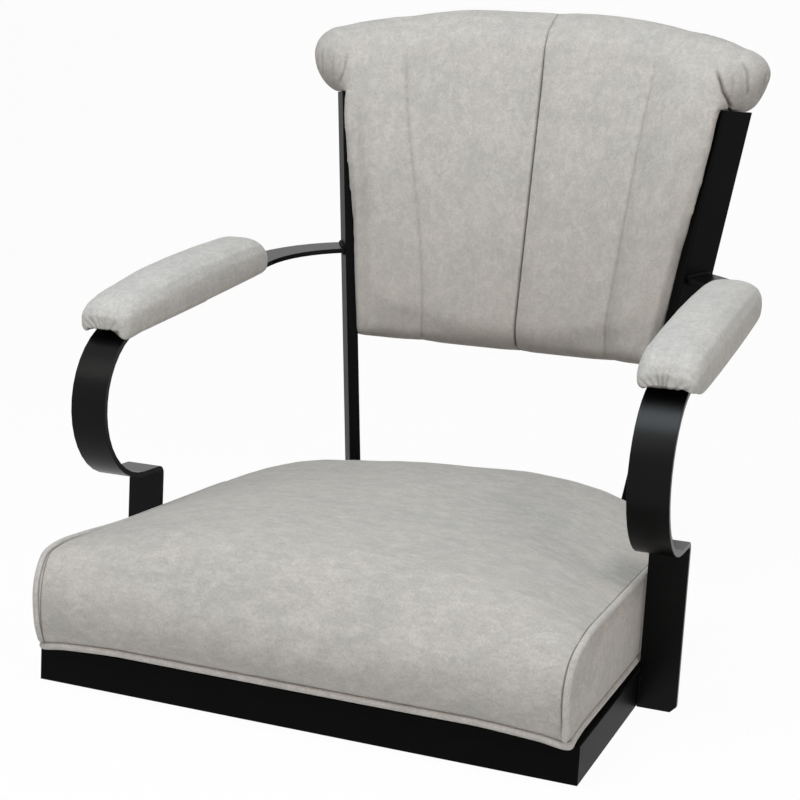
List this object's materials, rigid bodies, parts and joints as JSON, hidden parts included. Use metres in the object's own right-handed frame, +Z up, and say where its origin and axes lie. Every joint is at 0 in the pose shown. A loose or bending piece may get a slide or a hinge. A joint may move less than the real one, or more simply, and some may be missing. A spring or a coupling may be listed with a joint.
{
  "type": "swivel stool seat head",
  "caption": "Head of a tall bar stool: piped seat cushion, fluted back with a rolled top and padded arms on a black steel frame that swivels on a hidden bearing.",
  "frame": {"origin": "on the swivel axis, at the underside of the swivel base plate and of the seat frame", "axes": "+Z up along the swivel axis, -Y towards the front of the seat, where the sitter's legs hang, +X towards the sitter's left arm rest"},
  "size_m": [0.5724, 0.6775, 0.6174],
  "materials": {
    "black_steel": "satin black powder coat",
    "zinc_steel": "zinc plated",
    "nylon": "matt",
    "plywood": "raw birch plywood",
    "velvet": "light warm grey velour with a short nap",
    "piping": "piping covered in the same velour"
  },
  "bodies": {
    "swivel_base": {"swivel_base_plate": "zinc_steel", "swivel_pin": "zinc_steel", "swivel_lock_nut": "zinc_steel", "swivel_bearing_ring": "nylon"},
    "seat_head": {"front_rail": "black_steel", "rear_rail": "black_steel", "left_side_rail": "black_steel", "right_side_rail": "black_steel", "front_cross_strap": "black_steel", "rear_cross_strap": "black_steel", "right_back_tube": "black_steel", "left_back_tube": "black_steel", "lower_back_rail": "black_steel", "upper_back_rail": "black_steel", "right_arm": "black_steel", "left_arm": "black_steel", "swivel_top_plate": "zinc_steel", "swivel_bolt_front_left": "zinc_steel", "swivel_bolt_front_right": "zinc_steel", "swivel_bolt_rear_left": "zinc_steel", "swivel_bolt_rear_right": "zinc_steel", "swivel_nut_front_left": "zinc_steel", "swivel_nut_front_right": "zinc_steel", "swivel_nut_rear_left": "zinc_steel", "swivel_nut_rear_right": "zinc_steel", "seat_screw_front_left": "zinc_steel", "seat_screw_front_right": "zinc_steel", "seat_screw_rear_left": "zinc_steel", "seat_screw_rear_right": "zinc_steel", "back_screw_lower_left": "zinc_steel", "back_screw_lower_right": "zinc_steel", "back_screw_upper_left": "zinc_steel", "back_screw_upper_right": "zinc_steel", "right_arm_pad_screw_front": "zinc_steel", "right_arm_pad_screw_rear": "zinc_steel", "left_arm_pad_screw_front": "zinc_steel", "left_arm_pad_screw_rear": "zinc_steel", "seat_board": "plywood", "back_board": "plywood", "right_arm_pad_board": "plywood", "left_arm_pad_board": "plywood", "seat_cushion": "velvet", "back_cushion": "velvet", "back_outer_panel": "velvet", "right_arm_pad": "velvet", "left_arm_pad": "velvet", "right_side_piping": "piping", "left_side_piping": "piping", "bottom_piping": "piping"}
  },
  "joints": [
    {"name": "swivel", "type": "hinge", "parent": "swivel_base", "child": "seat_head", "pos_m": [0, 0, 0], "axis": [0, 0, 1], "continuous": true}
  ]
}
